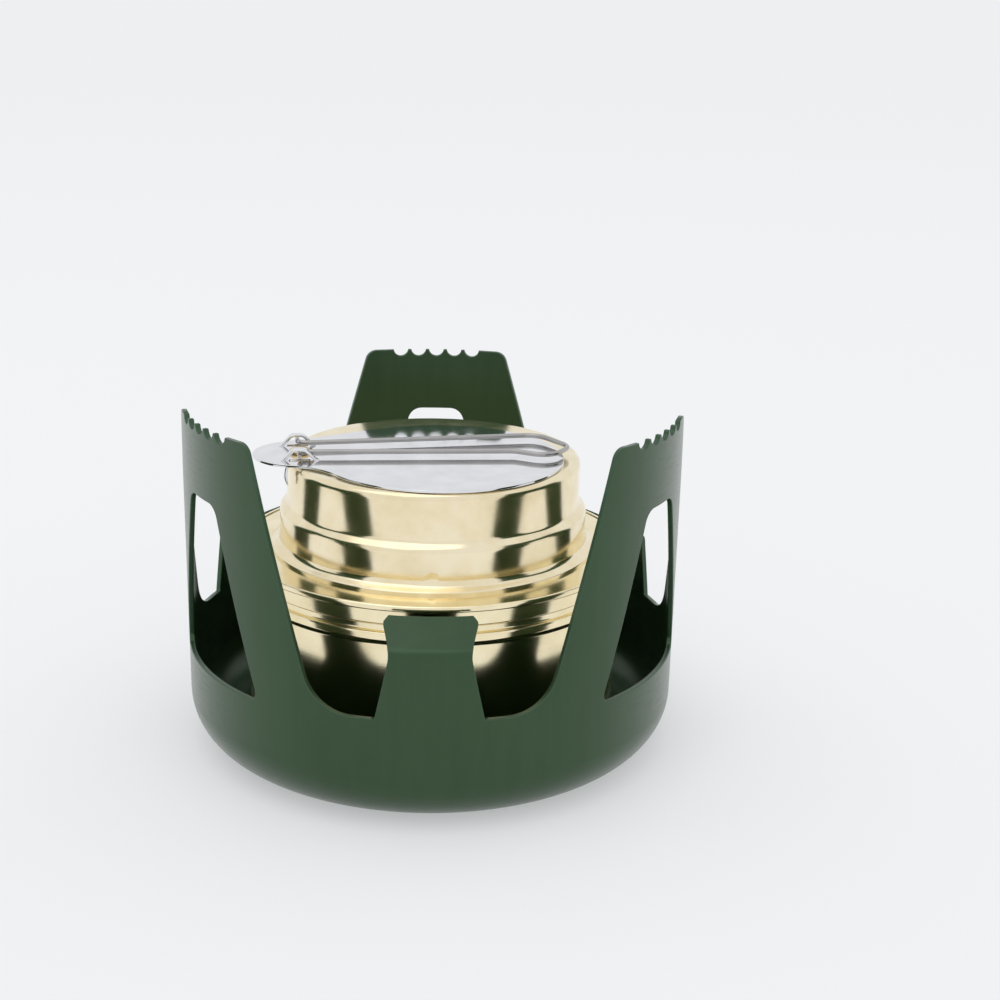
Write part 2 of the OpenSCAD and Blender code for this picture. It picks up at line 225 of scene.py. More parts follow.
class Look:
    """A node material with a few shorthands."""

    def __init__(self, name, colour, metallic, roughness):
        self.material = bpy.data.materials.new(name)
        self.material.use_nodes = True
        self.material.diffuse_color = (*colour, 1)
        self.nodes = self.material.node_tree.nodes
        self.links = self.material.node_tree.links
        self.shader = self.nodes["Principled BSDF"]
        self.set("Base Color", (*colour, 1))
        self.set("Metallic", metallic)
        self.set("Roughness", roughness)
        self.normal = None
        self.place = self.node("ShaderNodeTexCoord").outputs["Object"]

    def set(self, socket, value):
        self.shader.inputs[socket].default_value = value

    def node(self, kind, **settings):
        made = self.nodes.new(kind)
        for key, value in settings.items():
            setattr(made, key, value)
        return made

    def link(self, source, target):
        self.links.new(source, target)

    def math(self, operation, a, b=0.0):
        made = self.node("ShaderNodeMath", operation=operation)
        for socket, value in zip(made.inputs, (a, b)):
            if isinstance(value, (int, float)):
                socket.default_value = value
            else:
                self.link(value, socket)
        return made.outputs[0]

    def noise(self, scale, detail=3.0, vector=None, roughness=0.55):
        made = self.node("ShaderNodeTexNoise")
        made.inputs["Scale"].default_value = scale
        made.inputs["Detail"].default_value = detail
        made.inputs["Roughness"].default_value = roughness
        self.link(vector or self.place, made.inputs["Vector"])
        return made.outputs["Fac"]

    def stretched(self, scale):
        """The place in the frame, scaled by a different amount along each axis."""
        made = self.node("ShaderNodeMapping")
        made.inputs["Scale"].default_value = scale
        self.link(self.place, made.inputs["Vector"])
        return made.outputs[0]

    def round_place(self, turn_scale):
        """Radius, height and a little of the angle: spun marks run round the axis in this space."""
        parts = self.node("ShaderNodeSeparateXYZ")
        self.link(self.place, parts.inputs[0])
        x, y, z = parts.outputs
        squares = self.math("ADD", self.math("MULTIPLY", x, x), self.math("MULTIPLY", y, y))
        radius = self.math("SQRT", squares)
        angle = self.math("MULTIPLY", self.math("ARCTAN2", y, x), turn_scale)
        joined = self.node("ShaderNodeCombineXYZ")
        for source, socket in zip((radius, z, angle), joined.inputs):
            self.link(source, socket)
        return joined.outputs[0]

    def range(self, value, low, high, start=0.3, end=0.7):
        made = self.node("ShaderNodeMapRange")
        for socket, number in zip(("From Min", "From Max", "To Min", "To Max"), (start, end, low, high)):
            made.inputs[socket].default_value = number
        self.link(value, made.inputs["Value"])
        return made.outputs[0]

    def bump(self, height, strength, distance):
        made = self.node("ShaderNodeBump")
        made.inputs["Strength"].default_value = strength
        made.inputs["Distance"].default_value = distance
        self.link(height, made.inputs["Height"])
        if self.normal:
            self.link(self.normal, made.inputs["Normal"])
        self.normal = made.outputs[0]
        self.link(self.normal, self.shader.inputs["Normal"])

    def mix(self, factor, colour_a, colour_b):
        """Mixes two colours, each a tuple or a socket, by a socket's value."""
        made = self.node("ShaderNodeMix", data_type="RGBA")
        self.link(factor, made.inputs["Factor"])
        for socket, colour in zip(made.inputs[6:8], (colour_a, colour_b)):
            if isinstance(colour, tuple):
                socket.default_value = (*colour, 1)
            else:
                self.link(colour, socket)
        return made.outputs[2]

    def roughen(self, value):
        self.link(value, self.shader.inputs["Roughness"])

    def paint(self, value):
        self.link(value, self.shader.inputs["Base Color"])


def brass(name, colour, dark, roughness, spread, wave):
    """Polished spun brass: fine turning rings, a slow waviness and a faint uneven tarnish."""
    look = Look(name, colour, 1.0, roughness)
    rings = look.noise(5200, 2.0, look.round_place(0.0004))
    fine = look.noise(26000, 1.0, look.round_place(0.0008))
    blotch = look.noise(160, 4.0)
    slow = look.noise(70, 1.0)
    stain = look.range(blotch, 0.0, 1.0, 0.35, 0.78)
    look.paint(look.mix(stain, colour, dark))
    uneven = look.math("ADD", look.range(blotch, 0, spread), look.range(rings, 0, spread * 0.6))
    look.roughen(look.math("ADD", uneven, roughness))
    look.bump(slow, wave, 0.0004)
    look.bump(rings, 0.05, 0.00006)
    look.bump(fine, 0.03, 0.00003)
    return look.material


def anodised(name, colour, pale, roughness):
    """Satin anodised aluminium: bead-blasted grain, drawing streaks and faint handling marks."""
    look = Look(name, colour, 0.75, roughness)
    look.set("Coat Weight", 0.6)
    look.set("Coat Roughness", 0.24)
    look.set("Coat IOR", 1.5)
    grain = look.noise(9000, 2.0)
    streak = look.noise(420, 3.0, look.stretched((1, 1, 0.12)))
    cloud = look.noise(45, 3.0)
    scratch = look.noise(900, 5.0, look.stretched((0.25, 0.25, 3.0)), 0.7)
    tone = look.math("MULTIPLY", look.range(streak, 0.0, 1.0), 0.35)
    tone = look.math("ADD", tone, look.math("MULTIPLY", look.range(cloud, 0.0, 1.0), 0.5))
    look.paint(look.mix(tone, colour, pale))
    worn = look.math("ADD", look.range(scratch, 0.0, 0.10, 0.5, 0.75), look.range(grain, -0.03, 0.05))
    look.roughen(look.math("ADD", worn, roughness))
    look.bump(grain, 0.16, 0.00005)
    look.bump(streak, 0.05, 0.0002)
    return look.material


def steel(name, colour, roughness, wave):
    """Bright stainless steel with faint rolling lines and smudges."""
    look = Look(name, colour, 1.0, roughness)
    lines = look.noise(7000, 2.0, look.stretched((0.06, 1, 1)))
    smudge = look.noise(210, 4.0)
    look.paint(look.mix(look.range(smudge, 0.0, 0.6), colour, tuple(c * 0.82 for c in colour)))
    rolled = look.range(lines, roughness, roughness + 0.03)
    look.roughen(look.math("ADD", look.range(smudge, 0.0, 0.05), rolled))
    look.bump(look.noise(90, 1.0), wave, 0.0003)
    look.bump(lines, 0.03, 0.00002)
    return look.material


def rubber(name, colour):
    """Dull black rubber with a fine moulded grain."""
    look = Look(name, colour, 0.0, 0.6)
    look.bump(look.noise(6000, 2.0), 0.2, 0.00005)
    look.roughen(look.range(look.noise(300), 0.5, 0.72))
    return look.material


def felt(name, colour, dark):
    """Matted fibres, darker where they are packed."""
    look = Look(name, colour, 0.0, 0.95)
    fibres = look.noise(3200, 6.0, look.stretched((1, 1, 0.3)), 0.75)
    look.paint(look.mix(look.range(fibres, 0.0, 1.0), dark, colour))
    look.bump(fibres, 0.7, 0.0004)
    look.set("Sheen Weight", 0.4)
    return look.material


BRASS = brass("brass_polished", (0.94, 0.835, 0.60), (0.84, 0.71, 0.44), 0.11, 0.06, 0.08)
BRASS_CUP = brass("brass_spun_cup", (0.96, 0.86, 0.60), (0.86, 0.73, 0.45), 0.12, 0.06, 0.02)
BRASS_DULL = brass("brass_turned", (0.86, 0.70, 0.38), (0.62, 0.44, 0.20), 0.20, 0.12, 0.10)
GREEN = anodised("green_anodised", (0.016, 0.054, 0.015), (0.024, 0.070, 0.023), 0.36)
GREEN_EDGE = anodised("green_anodised_edge", (0.022, 0.066, 0.026), (0.040, 0.095, 0.045), 0.40)
STEEL = steel("steel_mirror", (0.83, 0.83, 0.85), 0.035, 0.05)
WIRE = steel("steel_wire", (0.44, 0.43, 0.42), 0.12, 0.02)
RUBBER = rubber("rubber_black", (0.022, 0.022, 0.022))
FELT = felt("felt_cream", (0.80, 0.76, 0.66), (0.55, 0.50, 0.40))


# ---- Pot stand: one sheet, cut flat, then wrapped round the axis as two faces and a round edge ----

CREASE_Z = 54.5
LEG_LEAN = 0.1
BASE_CORNER_R = 10.4
BAND_Z = 16.0
GAP_TURN = 32
CUTOUT_Z, CUTOUT_R = 21.5, 9.0
LEG_TOP_HALF, LEG_FOOT_HALF = 18.4, 34.9
LEG_TOP_CORNER = 2.5
WINDOW_Z0, WINDOW_Z1 = 20.0, 53.4
WINDOW_FOOT_W, WINDOW_TOP_W = 16.4, 5.4
WINDOW_FOOT_R, WINDOW_TOP_R = 1.5, 3.0
NOTCH_PITCH, NOTCH_R, NOTCH_RISE = 4.76, 1.65, 0.25
TAB_FOOT_W, TAB_WAIST_W, TAB_TIP_W = 9.5, 6.85, 8.3
TAB_BEND_Z, TAB_TIP_Z, TAB_TIP_R, TAB_BEND_R = 33.8, 37.6, 39.5, 2.0
TAB_CHAMFER_W, TAB_CHAMFER_Z = 1.0, 0.7
HALF_SECTOR = 60
SEAM = HALF_SECTOR * math.radians(1) * STAND_R
SECTOR_STEPS = 48
EDGE_STEP = 0.8
GRID_STEP = 1.5
EDGE_MATERIAL = 1
NEAR = 1e-3
WELD = 0.004
EDGE_ROUND = 0.2
EDGE_STEPS = 3


def sine_angle(x, radius=STAND_R):
    """Angle at which a sheet of the given radius stands x off its middle plane."""
    return math.degrees(math.asin(x / radius))


def tab_bend():
    """Angle of the tab's bend, and the length of wall that its round takes up on each side."""
    angle = math.atan2(STAND_R - TAB_TIP_R, TAB_TIP_Z - TAB_BEND_Z)
    return angle, TAB_BEND_R * math.tan(angle / 2)


def tab_length():
    """Height of the tab's tip measured along the sheet."""
    angle, lost = tab_bend()
    slope = math.hypot(STAND_R - TAB_TIP_R, TAB_TIP_Z - TAB_BEND_Z) - lost
    return TAB_BEND_Z - lost + TAB_BEND_R * angle + slope


def on_tab(t):
    """Radius, height and outward slope of the tab's outer face at a distance t along the sheet."""
    angle, lost = tab_bend()
    start = TAB_BEND_Z - lost
    if t <= start:
        return STAND_R, t, 0.0
    turned_by = min((t - start) / TAB_BEND_R, angle)
    radius = STAND_R - TAB_BEND_R * (1 - math.cos(turned_by))
    z = start + TAB_BEND_R * math.sin(turned_by)
    rest = max(0.0, t - start - TAB_BEND_R * angle)
    return radius - rest * math.sin(angle), z + rest * math.cos(angle), turned_by


def on_leg(t):
    """Radius, height and slope of the wall and the legs, which lean in a little above the crease."""
    lean = LEG_LEAN * max(0.0, t - CREASE_Z) / (STAND_H - CREASE_Z)
    return STAND_R - lean, t, 0.0


def tab_edge():
    """Edge of a tab from its foot to its tip, as (angle, distance along the sheet)."""
    outline = rounded([
        (TAB_FOOT_W, CUTOUT_Z, 0), (TAB_WAIST_W, TAB_BEND_Z, 6),
        (TAB_TIP_W, TAB_TIP_Z - TAB_CHAMFER_Z, 0.4), (TAB_TIP_W - TAB_CHAMFER_W, TAB_TIP_Z, 0),
    ], closed=False)
    total, points = tab_length(), []
    steps = 26
    for i in range(steps + 1):
        t = CUTOUT_Z + (total - CUTOUT_Z) * i / steps
        radius, z, _ = on_tab(t)
        below = [p for p in zip(outline, outline[1:]) if p[0][1] <= z + 1e-6]
        (w0, z0), (w1, z1) = below[-1]
        width = w0 + (w1 - w0) * min(1.0, (z - z0) / (z1 - z0))
        points.append((sine_angle(width, radius), t))
    return points


def leg_top():
    """Top of a leg from its middle notch outwards, as (angle from the tab's middle, height)."""
    top_r = STAND_R - LEG_LEAN
    half_chord = math.sqrt(NOTCH_R ** 2 - NOTCH_RISE ** 2)
    points = []
    for i in range(3):
        middle = HALF_SECTOR - i * NOTCH_PITCH
        reach = math.degrees(math.atan2(NOTCH_RISE, half_chord))
        notch = arc((0, STAND_H + NOTCH_RISE), NOTCH_R, 180 + reach, 360 - reach, 12)
        if i == 0:
            notch = [p for p in notch if p[0] >= -1e-6]
        points += [(middle - math.degrees(x / top_r), z) for x, z in notch]
    return points


def half_sector():
    """Outline of the sheet from the middle of a tab to the middle of a leg, as (angle, t)."""
    foot_x = STAND_R * math.sin(math.radians(HALF_SECTOR - LEG_FOOT_HALF - GAP_TURN))
    top_x = STAND_R * math.sin(math.radians(HALF_SECTOR - LEG_TOP_HALF - GAP_TURN))
    inside_x = STAND_R * math.sin(math.radians(HALF_SECTOR - GAP_TURN))
    tab_x = STAND_R * math.sin(math.radians(sine_angle(TAB_FOOT_W) - GAP_TURN))
    leg_corner = corner((inside_x, STAND_H), (top_x, STAND_H), (foot_x, CUTOUT_Z), LEG_TOP_CORNER, 8)
    gap_corner = corner((top_x, STAND_H), (foot_x, CUTOUT_Z), (tab_x, CUTOUT_Z), CUTOUT_R, 16)
    edge = spaced([*leg_corner, *gap_corner, (tab_x, CUTOUT_Z)], EDGE_STEP)
    edge = [(GAP_TURN + sine_angle(x), z) for x, z in edge]
    window = rounded([
        (0, WINDOW_Z0, 0), (WINDOW_FOOT_W, WINDOW_Z0, WINDOW_FOOT_R),
        (WINDOW_TOP_W, WINDOW_Z1, WINDOW_TOP_R), (0, WINDOW_Z1, 0),
    ], closed=False)
    window = [(HALF_SECTOR - sine_angle(x), z) for x, z in spaced(window, EDGE_STEP)]
    base = [(HALF_SECTOR * i / SECTOR_STEPS, BAND_Z) for i in range(SECTOR_STEPS + 1)]
    notch_z = STAND_H + NOTCH_RISE - NOTCH_R
    low_seam = spaced([(HALF_SECTOR, BAND_Z), (HALF_SECTOR, WINDOW_Z0)], GRID_STEP)[1:-1]
    high_seam = spaced([(HALF_SECTOR, WINDOW_Z1), (HALF_SECTOR, notch_z)], GRID_STEP)[1:-1]
    tab = tab_edge()
    tip = [(tab[-1][0] * (1 - i / 8), tab[-1][1]) for i in range(1, 9)]
    tab_seam = spaced([(0, tab[-1][1]), (0, BAND_Z)], GRID_STEP)[1:-1]
    return [*base, *low_seam, *window, *high_seam, *leg_top(), *edge, *tab[1:], *tip, *tab_seam]


def inside(point, outline):
    """Whether a point lies in a closed outline: a ray from it crosses the line an odd number of times."""
    crossings = 0
    for (x0, y0), (x1, y1) in zip(outline, outline[1:] + outline[:1]):
        if (y0 > point[1]) != (y1 > point[1]):
            crossings += point[0] < x0 + (x1 - x0) * (point[1] - y0) / (y1 - y0)
    return crossings % 2 == 1


def inset(flat, depth):
    """The same closed line, moved inwards by a depth. Points on the two seams stay on them."""
    out = []
    for i, here in enumerate(flat):
        before, after = Vector(flat[i - 1]), Vector(flat[(i + 1) % len(flat)])
        here = Vector(here)
        u, v = (here - before).normalized(), (after - here).normalized()
        across = Vector((-u.y, u.x)) + Vector((-v.y, v.x))
        step = across / max(0.5, across.length_squared / 2) * depth
        on_seam = here.x < NEAR or here.x > SEAM - NEAR
        upright = abs(u.x) < NEAR and abs(v.x) < NEAR
        if on_seam:
            step.x = 0.0
        if here.y < BAND_Z + NEAR or (upright and step.x == 0.0):
            step.y = 0.0
        out.append(tuple(here + step))
    return out


def sheet_cells():
    """The half sector's rim, the places and triangles inside it, and where each place came from."""
    per_degree = math.radians(1) * STAND_R
    flat = [(a * per_degree, t) for a, t in half_sector()]
    flat = [p for i, p in enumerate(flat) if math.dist(p, flat[i - 1]) > 0.05]
    middle = inset(flat, EDGE_ROUND)
    points = list(middle)
    columns = math.ceil(HALF_SECTOR * per_degree / GRID_STEP)
    rows = math.ceil((STAND_H - BAND_Z) / GRID_STEP / 0.9)
    for row in range(1, rows):
        for column in range(columns):
            shift = 0.25 if row % 2 else 0.75
            p = ((column + shift) * GRID_STEP, BAND_Z + row * GRID_STEP * 0.9)
            if inside(p, middle) and min(math.dist(p, q) for q in middle) > GRID_STEP * 0.45:
                points.append(p)
    rim = len(flat)
    edges = [(i, (i + 1) % rim) for i in range(rim)]
    vectors = [Vector(p) for p in points]
    made, _, faces, origin, *_ = delaunay_2d_cdt(vectors, edges, [list(range(rim))], 1, 1e-6)
    return flat, [tuple(p) for p in made], faces, origin


def stand_profile(depth):
    """Points and slopes of one face, from the band round the drawn corner to the floor's middle."""
    out = [((STAND_R - depth, BAND_Z), 0.0), ((STAND_R - depth, (BAND_Z + BASE_CORNER_R) / 2), 0.0)]
    steps = 20
    for i in range(steps + 1):
        a = math.pi / 2 * i / steps
        bend = BASE_CORNER_R - depth
        out.append(((STAND_R - BASE_CORNER_R + bend * math.cos(a), BASE_CORNER_R - bend * math.sin(a)), a))
    return out + [((radius, depth), math.pi / 2) for radius in (24.0, 12.0, 0.0)]


def on_sheet(point, depth, tab_angle, side):
    """Place and outward normal of a point of the flat sheet, at a depth under its outer face."""
    angle, t = math.degrees(point[0] / STAND_R), point[1]
    radius, z, slope = on_tab(t) if angle < sine_angle(TAB_FOOT_W) + 1 and t > CUTOUT_Z else on_leg(t)
    turn = math.radians(tab_angle + side * angle)
    out = Vector((math.cos(turn) * math.cos(slope), math.sin(turn) * math.cos(slope), math.sin(slope)))
    return Vector((radius * math.cos(turn), radius * math.sin(turn), z)) - out * depth, out


def edge_rounds():
    """Steps over the cut edge from the outer face to the inner: (share of the inset, depth, turn)."""
    steps = []
    for i in range(EDGE_STEPS + 1):
        a = math.pi / 2 * i / EDGE_STEPS
        steps.append((1 - math.sin(a), EDGE_ROUND * (1 - math.cos(a)), a))
    return steps + [(share, SHEET_T - depth, math.pi - a) for share, depth, a in reversed(steps)]


def shaded_vert(bm, shading, place, normal):
    made = bm.verts.new(place)
    made[shading] = normal
    return made


def add_faces(bm, shading, cells, faces, tab_angle, side):
    """Outer and inner face of one half sector, turned to its tab and mirrored by side."""
    for depth, facing in ((0.0, 1), (SHEET_T, -1)):
        placed = [on_sheet(p, depth, tab_angle, side) for p in cells]
        verts = [shaded_vert(bm, shading, place, out * facing) for place, out in placed]
        for face in faces:
            corners = [verts[i] for i in face]
            bm.faces.new(corners if side * facing > 0 else corners[::-1])


def add_cut_edge(bm, shading, flat, middle, tab_angle, side):
    """Round from the outer to the inner face along the rim of one half sector, but not on its seams."""
    rows = []
    for share, depth, turned_by in edge_rounds():
        row = []
        for rim, inner in zip(flat, middle):
            point = (rim[0] + (inner[0] - rim[0]) * share, rim[1] + (inner[1] - rim[1]) * share)
            place, out = on_sheet(point, depth, tab_angle, side)
            ahead, _ = on_sheet(rim, SHEET_T / 2, tab_angle, side)
            behind, _ = on_sheet(inner, SHEET_T / 2, tab_angle, side)
            away = ahead - behind
            away = away.normalized() if away.length > 1e-6 else out
            normal = out * math.cos(turned_by) + away * math.sin(turned_by)
            row.append(shaded_vert(bm, shading, place, normal))
        rows.append(row)
    for a, b in zip(rows, rows[1:]):
        for k in range(len(flat)):
            n = (k + 1) % len(flat)
            low = max(flat[k][1], flat[n][1]) < BAND_Z + NEAR
            left = max(flat[k][0], flat[n][0]) < NEAR
            right = min(flat[k][0], flat[n][0]) > SEAM - NEAR
            if low or left or right:
                continue
            quad = (a[k], a[n], b[n], b[k])
            face = bm.faces.new(quad if side < 0 else quad[::-1])
            face.material_index = EDGE_MATERIAL


def add_base(bm, shading):
    """Outer and inner face of the closed band, the round corner and the floor."""
    around = 6 * SECTOR_STEPS
    for depth, facing in ((0.0, 1), (SHEET_T, -1)):
        rings = []
        for (radius, z), slope in stand_profile(depth):
            ring = []
            for k in range(around if radius > 0 else 1):
                a = TAU * k / around
                flat_out = math.cos(slope)
                out = Vector((math.cos(a) * flat_out, math.sin(a) * flat_out, -math.sin(slope)))
                place = (radius * math.cos(a), radius * math.sin(a), z)
                ring.append(shaded_vert(bm, shading, place, out * facing))
            rings.append(ring)
        for a, b in zip(rings, rings[1:]):
            for k in range(around):
                n = (k + 1) % around
                loop = (a[k], b[k], b[n], a[n]) if len(b) > 1 else (a[k], b[0], a[n])
                bm.faces.new(loop if facing > 0 else loop[::-1])


def make_stand():
    """One cut and rolled sheet: two faces, a round over every cut edge, and a turned base."""
    flat, cells, faces, origin = sheet_cells()
    first = {}
    for made, sources in enumerate(origin):
        for source in sources:
            first.setdefault(source, made)
    middle = [cells[first[i]] for i in range(len(flat))]
    bm = bmesh.new()
    shading = bm.verts.layers.float_vector.new("shading")
    for tab_angle in TAB_ANGLES:
        for side in (-1, 1):
            add_faces(bm, shading, cells, faces, tab_angle, side)
            add_cut_edge(bm, shading, flat, middle, tab_angle, side)
    add_base(bm, shading)
    bmesh.ops.remove_doubles(bm, verts=bm.verts, dist=WELD)
    bmesh.ops.scale(bm, vec=(MM, MM, MM), verts=bm.verts)
    mesh = bpy.data.meshes.new("stand_sheet")
    bm.to_mesh(mesh)
    bm.free()
    mesh.materials.append(GREEN)
    mesh.materials.append(GREEN_EDGE)
    mesh.polygons.foreach_set("use_smooth", [True] * len(mesh.polygons))
    normals = [Vector(v.vector).normalized() for v in mesh.attributes["shading"].data]
    mesh.normals_split_custom_set_from_vertices(normals)
    piece = add_piece("stand_sheet", mesh, "stand")
    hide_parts("pot_stand")
    return piece


# ---- Burner ----

def make_cup():
    """Outer cup with its bead, groove and the rim rolled over the flange."""
    cup_r, band_r, corner_r = 36.1, 36.6, 4.0
    roll_z, bead_z, bead_h, groove_z, band_z = 30.6, 31.4, 0.45, 32.9, 34.3
    groove_r = band_r - 0.95
    wall_r = groove_r - BRASS_T
    floor_z = node_mm("fuel_cup")[0].z
    flange_z = RIM_Z - 0.25
    piece = turned("burner_cup", [
        (0, floor_z, 0),
        (cup_r - 7, floor_z, 0),
        (cup_r, floor_z, corner_r),
        (cup_r, roll_z, 0.9),
        (cup_r + bead_h, bead_z, 0.6),
        (cup_r + bead_h - 0.1, groove_z - 0.2, 0.5),
        (groove_r, groove_z + 0.1, 0.3),
        (groove_r, band_z - 0.2, 0.25),
        (band_r, band_z + 0.2, 0.35),
        (band_r, flange_z - 1.0, 0.2),
        (RIM_R, flange_z - 0.9, 0.4),
        (RIM_R, RIM_Z, 0.5),
        (band_r + 0.05, RIM_Z, 0.25),
        (band_r + 0.05, flange_z - BRASS_T - 0.05, 0),
        (wall_r, flange_z - BRASS_T - 0.05, 0),
        (wall_r, floor_z + BRASS_T, corner_r - BRASS_T),
        (0, floor_z + BRASS_T, 0),
    ], "burner", BRASS_CUP, closed=False)
    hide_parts("fuel_cup")
    return piece


def make_cap():
    """Screw cap with a fluted grip."""
    flutes, flute_depth = 48, 0.28
    bore_r, top_t, recess = 25.68, 0.8, 0.4
    grip_low, grip_high = CAP_FOOT_Z + 1.0, CAP_Z - 1.2

    def fluted(radius, angle, z):
        if radius < CAP_R - 0.2 or not grip_low <= z <= grip_high:
            return radius, z
        fade = min(1.0, (z - grip_low) / 0.6, (grip_high - z) / 0.6)
        return radius - flute_depth * fade * (0.5 + 0.5 * math.cos(flutes * angle)) ** 2, z

    piece = turned("cap_shell", [
        (0, CAP_Z - top_t, 0),
        (bore_r, CAP_Z - top_t, 0.4),
        (bore_r, CAP_FOOT_Z, 0.1),
        (CAP_R - 0.4, CAP_FOOT_Z, 0.1),
        (CAP_R, CAP_FOOT_Z + 0.4, 0.1),
        (CAP_R, CAP_Z, 0.8),
        (CAP_R - 3.4, CAP_Z, 0.35),
        (CAP_R - 4.0, CAP_Z - recess, 0.35),
        (14, CAP_Z - recess, 0),
        (0, CAP_Z - recess, 0),
    ], "cap", BRASS, steps=480, closed=False, shape=fluted, fine=1.2)
    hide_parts("screw_cap")
    return piece


# ---- Simmer ring ----

def make_ring():
    """Stepped spun ring with three small nibs pressed into its lower wall."""
    low_r, top_r, open_r = 29.6, 28.2, 19.0
    step_z, nib_z, nib_w, nib_h, nib_depth = 45.8, 40.7, 0.9, 0.9, 0.3
    foot_z, inner = RING_FOOT_Z, BRASS_T

    def pressed(radius, angle, z):
        if not low_r - inner - 0.1 <= radius <= low_r + 0.1:
            return radius, z
        depth = 0.0
        for nib_angle in TAB_ANGLES:
            turn = (angle - math.radians(nib_angle) + math.pi) % TAU - math.pi
            off = math.hypot(turn * low_r / nib_w, (z - nib_z) / nib_h)
            if off < 1:
                depth = nib_depth * (1 - off * off) ** 1.5
        return radius - depth, z

    piece = turned("ring_shell", [
        (RING_FOOT_R, foot_z, 0),
        (RING_FOOT_R, foot_z + 0.5, 0.22),
        (low_r, foot_z + 1.4, 1.3),
        (low_r, step_z, 1.3),
        (top_r, step_z + 1.3, 0.9),
        (top_r, RING_Z, 1.35),
        (24.0, RING_Z, 0),
        (open_r, RING_Z, 0.15),
        (open_r, RING_Z - inner, 0.15),
        (top_r - inner, RING_Z - inner, 0.75),
        (top_r - inner, step_z + 1.0, 1.2),
        (low_r - inner, step_z - 0.3, 0.6),
        (low_r - inner, foot_z, 0),
    ], "regulator", BRASS, steps=540, shape=pressed, fine=0.4)
    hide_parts("simmer_ring")
    return piece


def turn_to_hinge(bm):
    """Turns a mesh drawn with the hinge straight to the left to the hinge's own direction."""
    bmesh.ops.rotate(bm, matrix=Matrix.Rotation(HINGE_TURN, 3, "Z"), verts=bm.verts)


def make_rivet():
    """Formed head on top, flat head below the ring's top."""
    head_r, shank_r = 2.1, 1.2
    low, high = node_mm("lid_rivet")
    head_z, foot_z = high.z - 0.8, low.z + 0.5
    bm = bmesh.new()
    spin(bm, rounded([
        (0, low.z, 0), (head_r - 0.3, low.z, 0.2), (head_r - 0.3, foot_z, 0.1), (shank_r, foot_z, 0),
        (shank_r, head_z, 0), (head_r, head_z, 0.15), (head_r, high.z, 0.7), (0, high.z, 0),
    ], closed=False), 64, closed=False)
    bmesh.ops.translate(bm, vec=(RIVET_X, 0, 0), verts=bm.verts)
    turn_to_hinge(bm)
    piece = finish_mesh("rivet_head", bm, "regulator", BRASS_DULL)
    even_normals(piece)
    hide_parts("lid_rivet")
    return piece


# ---- Swing lid ----

EAR_W, EAR_T, EAR_H = 1.6, 0.5, 2.3
THUMB_R, DISC_R, HOLLOW_R = 9.0, 23.4, 12.0
DISC_CENTRE = (0.8, -4.3)
SLOT_HALF, SLOT_CORNER = 1.95, 0.3
CLAW_Y = 7.3


def flat_plate(name, outlines, z0, thickness, edge, material):
    """A flat sheet from closed outlines: the first is its edge, the others are holes."""
    curve = bpy.data.curves.new(name, "CURVE")
    curve.dimensions = "2D"
    curve.fill_mode = "BOTH"
    curve.extrude = (thickness / 2 - edge) * MM
    curve.bevel_depth = edge * MM
    curve.bevel_resolution = 2
    curve.offset = -edge * MM
    for outline in outlines:
        line = curve.splines.new("POLY")
        line.points.add(len(outline) - 1)
        for point, (x, y) in zip(line.points, outline):
            point.co = (x * MM, y * MM, 0, 1)
        line.use_cyclic_u = True
    made = bpy.data.objects.new(name, curve)
    bpy.context.scene.collection.objects.link(made)
    bpy.context.view_layer.update()
    mesh = bpy.data.meshes.new_from_object(made.evaluated_get(bpy.context.evaluated_depsgraph_get()))
    bpy.data.objects.remove(made)
    bm = bmesh.new()
    bm.from_mesh(mesh)
    bpy.data.meshes.remove(mesh)
    bmesh.ops.scale(bm, vec=(1 / MM,) * 3, verts=bm.verts)
    bmesh.ops.remove_doubles(bm, verts=bm.verts, dist=0.005)
    bmesh.ops.translate(bm, vec=(0, 0, z0 + thickness / 2), verts=bm.verts)
    turn_to_hinge(bm)
    piece = finish_mesh(name, bm, "lid", material, crease=40)
    even_normals(piece)
    return piece


def ear_section(_):
    """A flat strip's section with soft edges, as (thickness, width)."""
    return rounded([(0, -EAR_W / 2, 0.12), (EAR_T, -EAR_W / 2, 0.12),
                    (EAR_T, EAR_W / 2, 0.12), (0, EAR_W / 2, 0.12)], steps=3)


def lid_edge():
    """The thumb tab, the hollow towards the disc, the disc, and a straight side."""
    run = math.dist(DISC_CENTRE, (RIVET_X, 0))
    axis = math.degrees(math.atan2(DISC_CENTRE[1], DISC_CENTRE[0] - RIVET_X))
    side = axis + 90 + math.degrees(math.asin((DISC_R - THUMB_R) / run))
    tab_l, disc_l = THUMB_R + HOLLOW_R, DISC_R + HOLLOW_R
    cosine = (run ** 2 + tab_l ** 2 - disc_l ** 2) / (2 * run * tab_l)
    turn = axis - math.degrees(math.acos(cosine))
    hollow = arc((RIVET_X, 0), tab_l, turn, turn, 1)[0]
    back = math.degrees(math.atan2(hollow[1] - DISC_CENTRE[1], hollow[0] - DISC_CENTRE[0]))
    return [*arc((RIVET_X, 0), THUMB_R, side, turn + 360, 60),
            *arc(hollow, HOLLOW_R, turn + 180, back + 180, 14)[1:],
            *arc(DISC_CENTRE, DISC_R, back, side, 260)[1:]]


def make_lid():
    """Mirror plate with a slot under each ear."""
    slots = []
    for y in (-EAR_Y, EAR_Y):
        corners = [(-1, -1), (1, -1), (1, 1), (-1, 1)]
        slot = [(HINGE_X + i * SLOT_HALF, y + j * EAR_W / 2, SLOT_CORNER) for i, j in corners]
        slots.append(rounded(slot, steps=4))
    piece = flat_plate("lid_plate", [lid_edge(), *slots], LID_Z, LID_T, 0.12, STEEL)
    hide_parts("swing_lid")
    return piece


